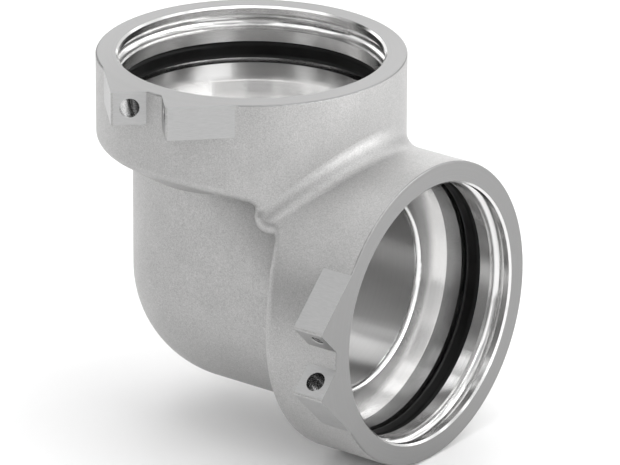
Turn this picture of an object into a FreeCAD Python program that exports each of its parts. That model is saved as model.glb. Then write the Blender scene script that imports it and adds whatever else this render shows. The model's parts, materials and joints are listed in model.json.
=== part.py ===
import FreeCAD, Part
import math
import os

os.makedirs("parts", exist_ok=True)

# Right-angle pipe elbow with two equal sockets. All sizes are millimetres.
# The origin is where the two socket axes cross. The upper socket opens along +Z,
# the side socket along +X, and the locking lugs face -Y. Everything is built for
# the upper socket and mirrored in the plane x = z for the side socket.

# pipe and socket bore
PIPE_DIAMETER = 80.0
PIPE_CLEARANCE = 0.25
REACH = 68.3
LEAD_IN = 0.6
BORE_DEPTH = 23.9
RELIEF_STEP = 0.6
STOP_DEPTH = 27.0

# groove for the lock wire, and the hole the wire is fed through; half of the wire sits
# in this groove and half in the pipe's, so the wire's circle is the bore's own
LOCK_GROOVE_SECTION = 2.6
LOCK_GROOVE_DEPTH = 5.0
WIRE_HOLE_RADIUS = 3.0

# groove for the sealing ring, and the ring as it sits around a pipe
RING_GROOVE_START = 11.35
RING_GROOVE_WIDTH = 7.0
RING_GROOVE_SINK = 4.0
RING_WIDTH = 5.9
RING_STANDS_PROUD = 0.15
RING_CORNER = 1.85

# casting: collars, barrel and passage, and the web in the crotch between the collars. The
# wall of the collar is measured over the ring groove. The collars' backs bow by WEB_BOW to
# the web's shoulders, and the web reaches WEB_REACH in from where the backs would cross
COLLAR_WALL = 2.75
COLLAR_LENGTH = 28.0
RIM_ROUND = 0.5
PASSAGE_RADIUS = 30.0
BARREL_WALL = 6.0
PASSAGE_EDGE_ROUND = 1.6
BACK_ROUND = 3.4
CREASE_ROUND = 6.0
WEB_BOW = 3.9
WEB_SHOULDER_ROUND = 2.8
WEB_REACH = 13.4
WEB_TIP_ROUND = 5.6
NECK_SLOPE = 33.0

# two equal lugs beside the wire entry, with a V between their facing faces. The wall is
# the metal outside the wire hole, and the width is that of a facing face from the V's root
LUG_HEIGHT = 10.3
LUG_WALL = 2.55
LUG_WIDTH = 14.7
LUG_CORNER_ROUND = 0.8

# small threaded hole in the second lug, M4, with a countersunk mouth
THREAD_MINOR_RADIUS = 1.65
THREAD_LENGTH = 7.5
COUNTERSINK = 0.5
SCREW_INSET = 4.8
SCREW_DEPTH = 4.0

# margins: how far a cut runs past a face, how close counts as on a surface, and how
# deep the neck bites into the rounded back above it
OVERRUN = 2.0
ON_SURFACE = 0.001
BITE = 0.03

# sizes that follow from the ones above
BORE_RADIUS = PIPE_DIAMETER / 2 + PIPE_CLEARANCE
RELIEF_RADIUS = BORE_RADIUS + RELIEF_STEP
RING_GROOVE_FLOOR = BORE_RADIUS + RING_GROOVE_SINK
RING_INNER = BORE_RADIUS - RING_STANDS_PROUD
COLLAR_RADIUS = RING_GROOVE_FLOOR + COLLAR_WALL
COLLAR_BACK = REACH - COLLAR_LENGTH
BARREL_RADIUS = PASSAGE_RADIUS + BARREL_WALL
WEB_SHOULDER = COLLAR_BACK - WEB_BOW
WEB_SIDE = COLLAR_BACK - WEB_REACH
LUG_OUTER_FACE = BORE_RADIUS + WIRE_HOLE_RADIUS + LUG_WALL
LUG_FACE = LUG_OUTER_FACE - LUG_WIDTH
SCREW_LINE = LUG_OUTER_FACE - SCREW_INSET
ROOT_HALF = math.sqrt(0.5)
AXIS = FreeCAD.Vector(0, 0, 1)
CENTRE = FreeCAD.Vector(0, 0, 0)
# unit vectors across the upper socket: WIRE_WAY points out of the face with the wire
# entry, SCREW_WAY out of the face with the screw hole, and they are square to each other
WIRE_WAY = FreeCAD.Vector(ROOT_HALF, -ROOT_HALF, 0)
SCREW_WAY = FreeCAD.Vector(-ROOT_HALF, -ROOT_HALF, 0)


def swapped(shape):
    """The same shape for the side socket: mirrored in the plane x = z."""
    return shape.mirror(CENTRE, FreeCAD.Vector(ROOT_HALF, 0, -ROOT_HALF))


def turned(points):
    """Solid of revolution about Z from (radius, height) points."""
    corners = [FreeCAD.Vector(radius, 0, height) for radius, height in points]
    wire = Part.makePolygon(corners + corners[:1])
    return Part.Face(wire).revolve(CENTRE, AXIS, 360)


def prism(points, low, high):
    """Upright prism from (x, y) points, between two heights."""
    corners = [FreeCAD.Vector(x, y, low) for x, y in points]
    wire = Part.makePolygon(corners + corners[:1])
    return Part.Face(wire).extrude(FreeCAD.Vector(0, 0, high - low))


def across(along_wire, along_screw, height):
    """Point of the upper socket given along WIRE_WAY and SCREW_WAY."""
    return WIRE_WAY * along_wire + SCREW_WAY * along_screw + AXIS * height


def middle_of(edge):
    return edge.valueAt((edge.FirstParameter + edge.LastParameter) / 2)


def edges_where(shape, test):
    return [edge for edge in shape.Edges if not edge.Degenerated and test(edge)]


def touches(shape, point):
    return Part.Vertex(point).distToShape(shape.Shells[0])[0] < ON_SURFACE


def pocket():
    """Space behind the collars, seen along Y: it leaves a rounded web in the crotch."""
    far = COLLAR_RADIUS + OVERRUN
    # the upper collar's back bows down towards the web; the side collar's is its mirror
    bowed = [(0, COLLAR_BACK), (WEB_SIDE / 2, COLLAR_BACK - WEB_BOW / 4), (WEB_SIDE, WEB_SHOULDER)]
    upper = [FreeCAD.Vector(x, -far, z) for x, z in bowed]
    side = [FreeCAD.Vector(z, -far, x) for x, z in bowed]
    tip = FreeCAD.Vector(WEB_SIDE, -far, WEB_SIDE)
    outer = [FreeCAD.Vector(x, -far, z) for x, z in ((COLLAR_BACK, -far), (-far, -far), (-far, COLLAR_BACK))]
    edges = [
        Part.Arc(*upper).toShape(), Part.makeLine(upper[2], tip), Part.makeLine(tip, side[2]),
        Part.Arc(*side[::-1]).toShape(), Part.makeLine(side[0], outer[0]),
        Part.makeLine(outer[0], outer[1]), Part.makeLine(outer[1], outer[2]), Part.makeLine(outer[2], upper[0]),
    ]
    solid = Part.Face(Part.Wire(edges)).extrude(FreeCAD.Vector(0, 2 * far, 0))

    def edge_at(corner):
        return edges_where(solid, lambda edge: all(
            abs(end.X - corner.x) < ON_SURFACE and abs(end.Z - corner.z) < ON_SURFACE
            for end in edge.Vertexes))

    solid = solid.makeFillet(WEB_TIP_ROUND, edge_at(tip))
    return solid.makeFillet(WEB_SHOULDER_ROUND, edge_at(upper[2]) + edge_at(side[2]))


def collars():
    """Both collars in one, with the crease between them and their backs rounded."""
    upper = Part.makeCylinder(COLLAR_RADIUS, REACH, CENTRE, AXIS)
    both = upper.fuse(swapped(upper)).removeSplitter().Solids[0]

    def in_crease(edge):
        middle = middle_of(edge)
        return abs(middle.x - middle.z) < ON_SURFACE and middle.x > OVERRUN

    both = both.makeFillet(CREASE_ROUND, edges_where(both, in_crease))
    space = pocket()
    free = both.cut(space).Solids[0]
    backs = edges_where(
        free, lambda edge: touches(space, middle_of(edge)) and touches(both, middle_of(edge)))
    free = free.makeFillet(BACK_ROUND, backs)

    def at_rim(edge):
        box = edge.BoundBox
        upper_rim = box.ZMin > REACH - ON_SURFACE
        side_rim = box.XMin > REACH - ON_SURFACE
        return upper_rim or side_rim

    return free.makeFillet(RIM_ROUND, edges_where(free, at_rim))


def neck():
    """Sloping underside of the upper collar, from its rounded back in to the barrel."""
    slope = math.radians(NECK_SLOPE)
    outer = COLLAR_RADIUS - BACK_ROUND * (1 - math.sin(slope))
    start = COLLAR_BACK + BACK_ROUND * (1 - math.cos(slope)) + BITE
    end = start - (outer - BARREL_RADIUS) * math.tan(slope)
    top = COLLAR_BACK + BACK_ROUND
    return turned([(0, end), (BARREL_RADIUS, end), (outer, start), (outer, top), (0, top)])


def elbow_tube(radius, reach):
    """Two arms and a ball of one radius, from the centre out to the given reach."""
    arm = Part.makeCylinder(radius, reach, CENTRE, AXIS)
    return arm.fuse([swapped(arm), Part.makeSphere(radius)]).removeSplitter()


def bend_fill():
    """Fills the inside of the bend flush with the arms, with a round between them."""
    outer = COLLAR_BACK
    corners = [FreeCAD.Vector(0, -BARREL_RADIUS, 0), FreeCAD.Vector(outer, -BARREL_RADIUS, 0),
               FreeCAD.Vector(0, -BARREL_RADIUS, outer)]
    flat = Part.Face(Part.makePolygon(corners + corners[:1]))
    slab = flat.extrude(FreeCAD.Vector(0, 2 * BARREL_RADIUS, 0))
    slope = FreeCAD.Vector(ROOT_HALF, 0, -ROOT_HALF)
    brace = Part.makeCylinder(BARREL_RADIUS, outer / ROOT_HALF, AXIS * outer, slope)
    return slab, brace


def lug_pair():
    """Two lugs of the upper socket, flush with its rim. The V between them ends on the collar."""
    low = REACH - LUG_HEIGHT
    outline = [(0, LUG_FACE), (LUG_FACE, LUG_FACE), (LUG_FACE, LUG_OUTER_FACE), (0, LUG_OUTER_FACE)]
    entry_points = [across(wire, screw, 0) for wire, screw in outline]
    screw_points = [across(screw, wire, 0) for wire, screw in outline]
    lugs = []
    for points in (entry_points, screw_points):
        lug = prism([(point.x, point.y) for point in points], low, REACH)
        far = edges_where(lug, lambda edge: -middle_of(edge).y > COLLAR_RADIUS
                          and edge.BoundBox.ZLength > LUG_HEIGHT - ON_SURFACE)
        lugs.append(lug.makeFillet(LUG_CORNER_ROUND, far))
    return lugs


def socket_space():
    """Everything cut into the upper socket from its mouth down to the stop."""
    mouth = REACH + OVERRUN
    stop = REACH - STOP_DEPTH
    bore = turned([
        (0, stop), (RELIEF_RADIUS, stop), (RELIEF_RADIUS, REACH - BORE_DEPTH - RELIEF_STEP),
        (BORE_RADIUS, REACH - BORE_DEPTH), (BORE_RADIUS, REACH - LEAD_IN),
        (BORE_RADIUS + LEAD_IN + OVERRUN, mouth), (0, mouth),
    ])
    ring_top = REACH - RING_GROOVE_START
    ring_groove = turned([
        (PASSAGE_RADIUS, ring_top), (RING_GROOVE_FLOOR, ring_top),
        (RING_GROOVE_FLOOR, ring_top - RING_GROOVE_WIDTH), (PASSAGE_RADIUS, ring_top - RING_GROOVE_WIDTH),
    ])
    wire_height = REACH - LOCK_GROOVE_DEPTH
    lock_groove = Part.makeTorus(BORE_RADIUS, LOCK_GROOVE_SECTION, AXIS * wire_height, AXIS)
    entry_start = across(LUG_FACE + OVERRUN, BORE_RADIUS, wire_height)
    entry = Part.makeCylinder(WIRE_HOLE_RADIUS, LUG_FACE + OVERRUN, entry_start, WIRE_WAY * -1)
    return bore.fuse([ring_groove, lock_groove, entry, screw_hole()])


def screw_hole():
    """Drilled hole for the screw thread, with its countersunk mouth and drill point."""
    radius = THREAD_MINOR_RADIUS
    height = REACH - SCREW_DEPTH
    inward = SCREW_WAY * -1
    drilled = Part.makeCylinder(radius, THREAD_LENGTH, across(SCREW_LINE, LUG_FACE, height), inward)
    mouth = Part.makeCone(radius + COUNTERSINK + OVERRUN, radius, COUNTERSINK + OVERRUN,
                          across(SCREW_LINE, LUG_FACE + OVERRUN, height), inward)
    point = Part.makeCone(radius, 0, radius * ROOT_HALF,
                          across(SCREW_LINE, LUG_FACE - THREAD_LENGTH, height), inward)
    return drilled.fuse([mouth, point])


def elbow_body():
    barrel = elbow_tube(BARREL_RADIUS, COLLAR_BACK + OVERRUN)
    barrel = barrel.fuse(bend_fill()).removeSplitter()
    underside = neck()
    outside = collars().fuse([barrel, underside, swapped(underside)]).removeSplitter().Solids[0]
    lugs = lug_pair()
    outside = outside.fuse(lugs + [swapped(lug) for lug in lugs])
    passage = elbow_tube(PASSAGE_RADIUS, REACH - STOP_DEPTH)
    space = socket_space()
    solid = outside.cut([passage, space, swapped(space)]).removeSplitter().Solids[0]

    def passage_edge(edge):
        if not isinstance(edge.Curve, Part.Circle):
            return False
        if abs(edge.Curve.Radius - PASSAGE_RADIUS) > ON_SURFACE:
            return False
        middle = middle_of(edge)
        return max(middle.x, middle.z) > REACH - STOP_DEPTH - ON_SURFACE

    return solid.makeFillet(PASSAGE_EDGE_ROUND, edges_where(solid, passage_edge))


def seal_ring():
    """Sealing ring of the upper socket, pressed oval between groove floor and pipe."""
    top = REACH - RING_GROOVE_START
    solid = turned([
        (RING_INNER, top), (RING_GROOVE_FLOOR, top),
        (RING_GROOVE_FLOOR, top - RING_WIDTH), (RING_INNER, top - RING_WIDTH),
    ])
    corners = edges_where(solid, lambda edge: isinstance(edge.Curve, Part.Circle))
    return solid.makeFillet(RING_CORNER, corners)


top_ring = seal_ring()
for node, shape in (
    ("elbow_body", elbow_body()),
    ("top_seal_ring", top_ring),
    ("side_seal_ring", swapped(top_ring)),
):
    shape.exportStep("parts/" + node + ".step")
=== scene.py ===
import json
import math

import bpy
import numpy as np
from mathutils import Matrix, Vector


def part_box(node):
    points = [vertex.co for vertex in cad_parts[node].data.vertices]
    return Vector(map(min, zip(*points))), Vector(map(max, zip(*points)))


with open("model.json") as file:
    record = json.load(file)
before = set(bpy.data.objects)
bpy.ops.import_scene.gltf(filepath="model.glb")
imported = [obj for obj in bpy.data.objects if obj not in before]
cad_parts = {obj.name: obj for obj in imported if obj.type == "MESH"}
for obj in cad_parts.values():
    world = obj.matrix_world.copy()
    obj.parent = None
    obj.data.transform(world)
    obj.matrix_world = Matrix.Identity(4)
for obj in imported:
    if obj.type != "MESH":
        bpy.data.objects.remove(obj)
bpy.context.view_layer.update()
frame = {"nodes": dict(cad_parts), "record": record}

# The fitting's sizes that the finishes depend on, in metres. The upper socket opens along +Z
# and the side socket along +X from the origin. Depths are counted from a socket's rim inwards,
# radii from its axis. The first ones come from the frame, the others follow the part's source.
BODY = frame["nodes"]["elbow_body"]
MOUNTS = {mount["name"]: mount for mount in frame["record"]["mounts"]}
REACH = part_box("elbow_body")[1].z
BORE_RADIUS = MOUNTS["top_socket"]["dims"]["r_mm"] / 1000
COLLAR_RADIUS = -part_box("elbow_body")[0].z
RIM_ROUND = 0.0005
LEAD_IN = 0.0006
LUG_DEPTH = 0.0103
RING_GROOVE_BACK = 0.0183
BORE_DEPTH = 0.0239
STOP_DEPTH = 0.027
STOP_HEIGHT = REACH - STOP_DEPTH
RELIEF_RADIUS = BORE_RADIUS + 0.0006
PASSAGE_EDGE_ROUND = 0.0016
PASSAGE_EDGE = 0.0317                    # the passage's radius with its rounded edge
GROOVED_RADIUS = COLLAR_RADIUS - 0.0012  # outside every groove, inside the collar's wall
LUG_OUTER_FACE = 0.0458
COUNTERSINK = 0.4                        # how far a small hole's ends reach past it, in radii

# How the middles and normals of faces are tested.
HAIR = 0.0002                            # slack on a length
SQUARE_ON = 0.999                        # cosine of a normal that looks exactly one way
FLAT_ON = 0.9                            # the same, for a face across the axis
LEANING = 0.3                            # the same, with the rounded edge of such a face
DIAGONAL = math.sqrt(0.5)
LUG_WAYS = ((DIAGONAL, -DIAGONAL), (-DIAGONAL, -DIAGONAL))

# A socket's name, its axis, and the order of coordinates that makes that axis the third.
# So the same tests serve both sockets, which mirror each other in the plane x = z.
TOP_ORDER = (0, 1, 2)
SIDE_ORDER = (2, 1, 0)
SOCKETS = (("top", "Z", TOP_ORDER), ("side", "X", SIDE_ORDER))

# Noise mostly lies between these two values, so ranges and colours span them.
NOISE_LOW = 0.3
NOISE_HIGH = 0.7
# Scales of the noise, in cycles a metre, from the finest marks to the softest clouds.
TOOL_MARKS = 6000
RUBBER_PORES = 3200
METAL_GRAIN = 2600
TOOL_WAVES = 1100
BLASTED_PITS = 900
MILL_MARKS = 420
MILL_STRETCH = (1.0, 1.0, 12.0)
GREASE_FILM = 160
CAST_CLOUDS = 55
FLOOR_CLOUDS = 3
MICRON = 0.000001
QUARTER_TURN = 0.25

# Cast finishes: tone, strength of the grain, roughness. The milled one: tone, roughness.
CAST_OUTSIDE = (0.46, 1.0, 0.50)
CAST_PASSAGE = (0.44, 1.3, 0.36)
MILLED = (0.44, 0.38)
# Lathe finishes: tone, roughness, anisotropy, strength of the tool marks.
TURNED = (0.80, 0.19, 0.75, 0.04)
TURNED_PASSAGE = (0.52, 0.32, 0.95, 0.12)
# painted shade: a darker copy of TURNED, given to one band of the side socket's bore alone
TURNED_PAINTED_SHADE = (0.28, 0.24, 0.75, 0.05)
FACED_RIM = (0.275, 0.36, 0.3, 0.2)
FACED_STOP = (0.93, 0.24, 0.70, 0.05)
# Small holes: tone, pitch and depth of the ridges, which are a drill's marks or an M4 thread.
WIRE_ENTRY = (0.36, 0.0011, 0.00002)
SCREW_HOLE = (0.20, 0.0007, 0.00035)
HOLES = {
    "top_wire_entry": WIRE_ENTRY, "side_wire_entry": WIRE_ENTRY,
    "top_screw_hole": SCREW_HOLE, "side_screw_hole": SCREW_HOLE,
}

# The photograph's camera: a long lens far off, with its axis through the picture's centre.
CAMERA_PLACE = (1.11934, -1.43503, 0.73021)
CAMERA_TURN = (0.782894, 0.532780, 0.179081, 0.266743)
SENSOR_WIDTH = 36.0
LENS = 373.42

# Softboxes: square panels all round, at one distance from the fitting. By elevation, the
# azimuth of each and the brightness it shows.
BOX_DISTANCE = 2.4
BOX_SIZE = 1.25
SOFTBOXES = {
    14: ((0, 3.55), (30, 3.30), (60, 1.80), (90, 0.81), (120, 1.74), (150, 1.10), (180, 1.80),
         (210, 1.00), (300, 0.57), (330, 1.30)),
    42: ((0, 0.74), (30, 0.69), (60, 0.85), (90, 1.19), (120, 1.63), (210, 0.50), (240, 1.20),
         (270, 1.23), (300, 0.33), (330, 0.48)),
    70: ((0, 1.58), (60, 1.32), (120, 0.67), (180, 1.73), (240, 1.09), (300, 1.02)),
}


class Nodes:
    """Short hands for building a material's node tree."""

    def __init__(self, name):
        self.material = bpy.data.materials.new(name)
        self.material.use_nodes = True
        self.tree = self.material.node_tree
        self.shader = self.tree.nodes["Principled BSDF"]
        self.place = self.add("TexCoord").outputs["Object"]

    def add(self, kind, **settings):
        node = self.tree.nodes.new("ShaderNode" + kind)
        for key, value in settings.items():
            setattr(node, key, value)
        return node

    def link(self, out, into):
        self.tree.links.new(out, into)

    def noise(self, vector, scale, detail=2.0, roughness=0.5):
        node = self.add("TexNoise")
        self.link(vector, node.inputs["Vector"])
        node.inputs["Scale"].default_value = scale
        node.inputs["Detail"].default_value = detail
        node.inputs["Roughness"].default_value = roughness
        return node.outputs["Fac"]

    def ranged(self, value, low, high, start=NOISE_LOW, end=NOISE_HIGH):
        """Maps start to end on to low to high."""
        node = self.add("MapRange")
        self.link(value, node.inputs["Value"])
        node.inputs["From Min"].default_value = start
        node.inputs["From Max"].default_value = end
        node.inputs["To Min"].default_value = low
        node.inputs["To Max"].default_value = high
        return node.outputs["Result"]

    def math(self, operation, *values):
        node = self.add("Math", operation=operation)
        for socket, value in zip(node.inputs, values):
            if isinstance(value, float):
                socket.default_value = value
            else:
                self.link(value, socket)
        return node.outputs["Value"]

    def colours(self, value, dark, light):
        node = self.add("ValToRGB")
        stops = zip(node.color_ramp.elements, (NOISE_LOW, NOISE_HIGH), (dark, light))
        for element, position, colour in stops:
            element.position = position
            element.color = (*colour, 1)
        self.link(value, node.inputs["Fac"])
        return node.outputs["Color"]

    def toned(self, colour, tone):
        """One colour, made darker and lighter by the tone."""
        node = self.add("Mix", data_type="RGBA", blend_type="MULTIPLY")
        node.inputs["Factor"].default_value = 1.0
        node.inputs["A"].default_value = (*colour, 1)
        self.link(tone, node.inputs["B"])
        return node.outputs["Result"]

    def bump(self, height, strength, distance, normal=None):
        node = self.add("Bump")
        node.inputs["Strength"].default_value = strength
        node.inputs["Distance"].default_value = distance
        self.link(height, node.inputs["Height"])
        if normal is not None:
            self.link(normal, node.inputs["Normal"])
        return node.outputs["Normal"]

    def feed(self, **outs):
        """Links the shader's sockets, named with _ for a space."""
        for name, out in outs.items():
            self.link(out, self.shader.inputs[name.replace("_", " ")])

    def set(self, **values):
        """Sets the shader's sockets, named with _ for a space."""
        for name, value in values.items():
            self.shader.inputs[name.replace("_", " ")].default_value = value


def grey(level, warm=0.0):
    """A neutral colour, with a little more red than blue if warm."""
    return (level * (1 + warm), level, level * (1 - warm))


def cast_metal(name, level, grain, rough):
    """Bead-blasted cast aluminium: fine matte grain with faint clouds in its tone."""
    n = Nodes(name)
    fine = n.noise(n.place, METAL_GRAIN, 3.0, 0.65)
    pits = n.noise(n.place, BLASTED_PITS, 2.0, 0.6)
    clouds = n.noise(n.place, CAST_CLOUDS, 4.0, 0.6)
    tone = n.math("MULTIPLY", n.ranged(fine, 0.80, 1.16), n.ranged(clouds, 0.95, 1.05))
    soft = n.bump(pits, 0.35 * grain, 120 * MICRON)
    n.feed(
        Base_Color=n.toned(grey(level, 0.006), tone),
        Roughness=n.ranged(pits, rough - 0.05, rough + 0.07),
        Normal=n.bump(fine, 0.6 * grain, 60 * MICRON, soft),
    )
    n.set(Metallic=1.0)
    return n.material


def turned_metal(name, axis, level, rough, anisotropy, marks):
    """Metal cut on a lathe: rings of fine tool marks round the socket's own axis."""
    n = Nodes(name)
    split = n.add("SeparateXYZ")
    n.link(n.place, split.inputs["Vector"])
    first, second = [split.outputs[a] for a in "XYZ" if a != axis]
    squares = n.math("ADD", n.math("MULTIPLY", first, first), n.math("MULTIPLY", second, second))
    rings = n.add("CombineXYZ")
    n.link(n.math("SQRT", squares), rings.inputs["X"])
    n.link(split.outputs[axis], rings.inputs["Y"])
    fine = n.noise(rings.outputs["Vector"], TOOL_MARKS, 2.0, 0.6)
    broad = n.noise(rings.outputs["Vector"], TOOL_WAVES, 2.0, 0.5)
    tone = n.math("MULTIPLY", n.ranged(fine, 0.96, 1.03), n.ranged(broad, 0.98, 1.02))
    around = n.add("VectorMath", operation="CROSS_PRODUCT")
    around.inputs[0].default_value = [float(a == axis) for a in "XYZ"]
    n.link(n.place, around.inputs[1])
    unit = n.add("VectorMath", operation="NORMALIZE")
    n.link(around.outputs["Vector"], unit.inputs[0])
    n.feed(
        Base_Color=n.toned(grey(level, 0.004), tone),
        Roughness=n.ranged(broad, rough - 0.02, rough + 0.02),
        Tangent=unit.outputs["Vector"],
        Normal=n.bump(fine, marks, 20 * MICRON, n.bump(broad, marks, 30 * MICRON)),
    )
    n.set(Metallic=1.0, Anisotropic=anisotropy, Anisotropic_Rotation=QUARTER_TURN)
    return n.material


def drilled_metal(name, mount, level, pitch, depth):
    """The wall of a small hole: ridges of the given pitch round the hole's own axis."""
    n = Nodes(name)
    along = n.add("VectorMath", operation="DOT_PRODUCT")
    along.inputs[0].default_value = mount["axis"]
    n.link(n.place, along.inputs[1])
    ridge = n.math("SINE", n.math("MULTIPLY", along.outputs["Value"], 2 * math.pi / pitch))
    fine = n.noise(n.place, METAL_GRAIN, 2.0, 0.6)
    n.feed(
        Base_Color=n.colours(fine, grey(0.85 * level), grey(1.15 * level)),
        Roughness=n.ranged(fine, 0.18, 0.30),
        Normal=n.bump(n.ranged(ridge, 0.0, 1.0, -1.0, 1.0), 1.0, depth),
    )
    n.set(Metallic=1.0)
    return n.material


def milled_metal(name, level, rough):
    """Flat faces cut by a mill: close parallel marks across the face."""
    n = Nodes(name)
    stretch = n.add("Mapping")
    stretch.inputs["Scale"].default_value = MILL_STRETCH
    n.link(n.place, stretch.inputs["Vector"])
    marks = n.noise(stretch.outputs["Vector"], MILL_MARKS, 3.0)
    fine = n.noise(n.place, METAL_GRAIN, 2.0, 0.6)
    n.feed(
        Base_Color=n.colours(marks, grey(0.9 * level), grey(level)),
        Roughness=n.ranged(fine, rough - 0.05, rough + 0.05),
        Normal=n.bump(marks, 0.25, 40 * MICRON),
    )
    n.set(Metallic=1.0)
    return n.material


def seal_rubber(name):
    """Black moulded rubber with a thin film of grease."""
    n = Nodes(name)
    pores = n.noise(n.place, RUBBER_PORES, 2.0, 0.6)
    film = n.noise(n.place, GREASE_FILM, 3.0, 0.55)
    n.feed(
        Base_Color=n.colours(film, grey(0.003), grey(0.006)),
        Roughness=n.ranged(film, 0.34, 0.46),
        Normal=n.bump(pores, 0.15, 30 * MICRON),
    )
    n.set(IOR=1.4, Specular_IOR_Level=0.22)
    return n.material


def painted_floor(name):
    n = Nodes(name)
    clouds = n.noise(n.place, FLOOR_CLOUDS)
    n.feed(Base_Color=n.colours(clouds, grey(0.93), grey(0.95)))
    n.set(Roughness=0.8, Specular_IOR_Level=0.2)
    return n.material


def body_finishes():
    """The casting's finishes by name, in the order of its material slots."""
    def both(pattern, settings):
        return [(pattern % side, turned_metal, (axis, *settings)) for side, axis, _ in SOCKETS]

    rows = [("cast_outside", cast_metal, CAST_OUTSIDE), ("cast_passage", cast_metal, CAST_PASSAGE)]
    rows += both("turned_%s", TURNED)
    rows += both("faced_%s_rim", FACED_RIM)
    rows.append(("milled_lug_face", milled_metal, MILLED))
    rows += [(name, drilled_metal, (MOUNTS[name], *marks)) for name, marks in HOLES.items()]
    rows += both("passage_%s_arm", TURNED_PASSAGE)
    rows += both("faced_%s_stop", FACED_STOP)
    # painted shade: the side socket's bore band gets this darker copy of the turned finish
    rows.append(("painted_shade_side_bore", turned_metal, ("X", *TURNED_PAINTED_SHADE)))
    return {name: make(name, *settings) for name, make, settings in rows}


def face_table(mesh):
    """Middles and normals of a mesh's faces, as arrays."""
    middles = np.zeros(len(mesh.polygons) * 3)
    normals = np.zeros(len(mesh.polygons) * 3)
    mesh.polygons.foreach_get("center", middles)
    mesh.polygons.foreach_get("normal", normals)
    return middles.reshape(-1, 3), normals.reshape(-1, 3)


def from_axis(place):
    """Distance from the third axis, and height along it."""
    return np.hypot(place[:, 0], place[:, 1]), place[:, 2]


def in_passage_arm(place):
    radius, height = from_axis(place)
    return (radius < PASSAGE_EDGE) & (height > 0) & (height < STOP_HEIGHT)


def in_socket(place):
    """The bore, its grooves, and the rounded edge where the passage meets the stop."""
    radius, height = from_axis(place)
    edge = (height > STOP_HEIGHT - PASSAGE_EDGE_ROUND) & (radius < PASSAGE_EDGE)
    bored = (height > STOP_HEIGHT - HAIR) & (radius < RELIEF_RADIUS + HAIR)
    grooved = (height > REACH - BORE_DEPTH) & (radius < GROOVED_RADIUS)
    return edge | bored | grooved


def on_stop(place, normal):
    radius, height = from_axis(place)
    level = np.abs(height - STOP_HEIGHT) < HAIR
    return level & (normal[:, 2] > FLAT_ON) & (radius > PASSAGE_EDGE - HAIR)


def on_rim(place, normal):
    radius, height = from_axis(place)
    level = height > REACH - RIM_ROUND - HAIR
    return level & (normal[:, 2] > LEANING) & (radius > BORE_RADIUS + LEAD_IN)


def on_lug(place, normal, way):
    """The two milled faces of the lug pair that look the given way."""
    radius, height = from_axis(place)
    out = place[:, :2] @ way
    facing = normal[:, :2] @ way > SQUARE_ON
    level = (out < COLLAR_RADIUS * DIAGONAL) | (np.abs(out - LUG_OUTER_FACE) < HAIR)
    return facing & level & (height > REACH - LUG_DEPTH) & (radius > COLLAR_RADIUS - HAIR)


def beyond_ring(place):
    """The bore between the ring's groove and the relief."""
    radius, height = from_axis(place)
    deep = (height > REACH - BORE_DEPTH) & (height < REACH - RING_GROOVE_BACK)
    return deep & (np.abs(radius - BORE_RADIUS) < 2 * HAIR)


def in_hole(middles, mount):
    """The wall of a small hole, its countersink and its end."""
    axis = np.array(mount["axis"])
    offset = middles - np.array(mount["pos_m"])
    along = offset @ axis
    away = np.linalg.norm(offset - np.outer(along, axis), axis=1)
    radius = mount["dims"]["r_mm"] / 1000
    half = mount["dims"]["length_mm"] / 2000
    past = np.maximum(np.abs(along) - half, 0)
    return (away < radius + HAIR + past) & (past < COUNTERSINK * radius + HAIR)


def finish_body():
    """Gives each face of the casting the finish that its place calls for."""
    finishes = body_finishes()
    slots = {name: number for number, name in enumerate(finishes)}
    mesh = BODY.data
    mesh.materials.clear()
    for finish in finishes.values():
        mesh.materials.append(finish)
    middles, normals = face_table(mesh)
    index = np.full(len(middles), slots["cast_outside"], np.int32)
    index[np.linalg.norm(middles, axis=1) < PASSAGE_EDGE] = slots["cast_passage"]
    for side, _, order in SOCKETS:
        index[in_passage_arm(middles[:, order])] = slots["passage_%s_arm" % side]
    for side, _, order in SOCKETS:
        place, normal = middles[:, order], normals[:, order]
        index[in_socket(place)] = slots["turned_" + side]
        index[on_stop(place, normal)] = slots["faced_%s_stop" % side]
        index[on_rim(place, normal)] = slots["faced_%s_rim" % side]
        for way in LUG_WAYS:
            index[on_lug(place, normal, way)] = slots["milled_lug_face"]
    # painted shade: in the side socket alone this band gets a darker copy of the turned finish
    index[beyond_ring(middles[:, SIDE_ORDER])] = slots["painted_shade_side_bore"]
    for name in HOLES:
        index[in_hole(middles, MOUNTS[name])] = slots[name]
    mesh.polygons.foreach_set("material_index", index)
    mesh.update()


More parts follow.
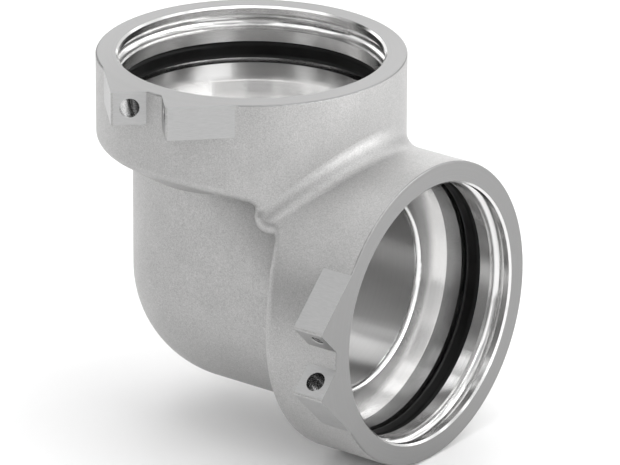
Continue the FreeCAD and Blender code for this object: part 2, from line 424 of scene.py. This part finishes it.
def finish_rings():
    rubber = seal_rubber("seal_rubber")
    for name in ("top_seal_ring", "side_seal_ring"):
        node = frame["nodes"][name]
        node.data.materials.clear()
        node.data.materials.append(rubber)


def add_camera():
    data = bpy.data.cameras.new("camera")
    data.sensor_width = SENSOR_WIDTH
    data.lens = LENS
    data.clip_start = 0.1
    data.clip_end = 50
    camera = bpy.data.objects.new("camera", data)
    camera.location = CAMERA_PLACE
    camera.rotation_mode = "QUATERNION"
    camera.rotation_quaternion = CAMERA_TURN
    bpy.context.scene.collection.objects.link(camera)
    bpy.context.scene.camera = camera


def add_floor():
    """A round floor that ends below the softboxes."""
    place = (0, 0, -COLLAR_RADIUS - HAIR)
    bpy.ops.mesh.primitive_circle_add(
        vertices=96, radius=BOX_DISTANCE, fill_type="NGON", location=place)
    floor = bpy.context.object
    floor.name = "floor"
    floor.data.materials.append(painted_floor("pale_floor"))


def add_world():
    """Plain white past the floor, which only the camera sees: it lights nothing."""
    world = bpy.data.worlds.new("studio")
    world.use_nodes = True
    background = world.node_tree.nodes["Background"]
    background.inputs["Color"].default_value = (1.0, 1.0, 1.0, 1)
    background.inputs["Strength"].default_value = 1.0
    bpy.context.scene.world = world
    for rays in ("diffuse", "glossy", "transmission", "scatter"):
        setattr(world.cycles_visibility, rays, False)


def add_softbox(azimuth, elevation, level):
    """A square panel that faces the fitting; the level is the brightness it shows."""
    around, up = math.radians(azimuth), math.radians(elevation)
    away = Vector((
        math.cos(up) * math.cos(around), math.cos(up) * math.sin(around), math.sin(up)))
    name = "box_%d_%d" % (azimuth, elevation)
    data = bpy.data.lights.new(name, "AREA")
    data.size = BOX_SIZE
    data.energy = level * math.pi * BOX_SIZE ** 2
    light = bpy.data.objects.new(name, data)
    light.location = away * BOX_DISTANCE
    light.rotation_mode = "QUATERNION"
    light.rotation_quaternion = away.to_track_quat("Z", "Y")
    bpy.context.scene.collection.objects.link(light)


finish_body()
finish_rings()
add_camera()
add_floor()
add_world()
for elevation, row in SOFTBOXES.items():
    for azimuth, level in row:
        add_softbox(azimuth, elevation, level)
bpy.context.scene.view_settings.view_transform = "Standard"
